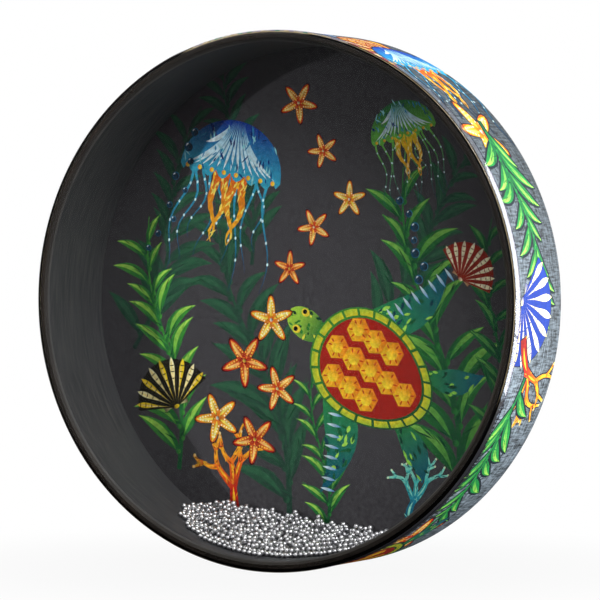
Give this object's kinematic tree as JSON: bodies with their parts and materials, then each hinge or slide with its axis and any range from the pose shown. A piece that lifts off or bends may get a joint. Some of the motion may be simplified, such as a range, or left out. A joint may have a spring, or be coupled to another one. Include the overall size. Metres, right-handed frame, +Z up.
{
  "type": "ocean drum",
  "caption": "Shallow round frame drum with a clear film head, a printed film head behind it and loose steel beads that run between them to sound like surf.",
  "frame": {"origin": "centre of the drum, on its axis and midway between the outer faces of the two heads", "axes": "+Y along the drum's axis from the clear head to the printed head, +Z up with the drum standing on its rim"},
  "size_m": [0.3054, 0.0636, 0.3054],
  "materials": {
    "shell_laminate": "dark resin-sealed wood-fibre laminate, satin",
    "clear_film": "clear polyester film, glossy",
    "printed_film": "printed film with a fine weave, low sheen",
    "wrap_cloth": "printed linen-weave cloth",
    "glue": "clear set adhesive",
    "bead_steel": "polished steel"
  },
  "bodies": {
    "drum": {"shell": "shell_laminate", "clear_head": "clear_film", "clear_head_bond": "glue", "printed_head": "printed_film", "printed_head_bond": "glue", "wrap_adhesive": "glue", "shell_wrap": "wrap_cloth"},
    "beads_1": {"bead_band_1": "bead_steel"},
    "beads_2": {"bead_band_2": "bead_steel"},
    "beads_3": {"bead_band_3": "bead_steel"},
    "beads_4": {"bead_band_4": "bead_steel"},
    "beads_5": {"bead_band_5": "bead_steel"}
  },
  "joints": [
    {"name": "beads_1_run", "type": "hinge", "parent": "drum", "child": "beads_1", "pos_m": [0, 0, 0], "axis": [0, 1, 0], "continuous": true},
    {"name": "beads_2_run", "type": "hinge", "parent": "drum", "child": "beads_2", "pos_m": [0, 0, 0], "axis": [0, 1, 0], "continuous": true},
    {"name": "beads_3_run", "type": "hinge", "parent": "drum", "child": "beads_3", "pos_m": [0, 0, 0], "axis": [0, 1, 0], "continuous": true},
    {"name": "beads_4_run", "type": "hinge", "parent": "drum", "child": "beads_4", "pos_m": [0, 0, 0], "axis": [0, 1, 0], "continuous": true},
    {"name": "beads_5_run", "type": "hinge", "parent": "drum", "child": "beads_5", "pos_m": [0, 0, 0], "axis": [0, 1, 0], "continuous": true}
  ]
}
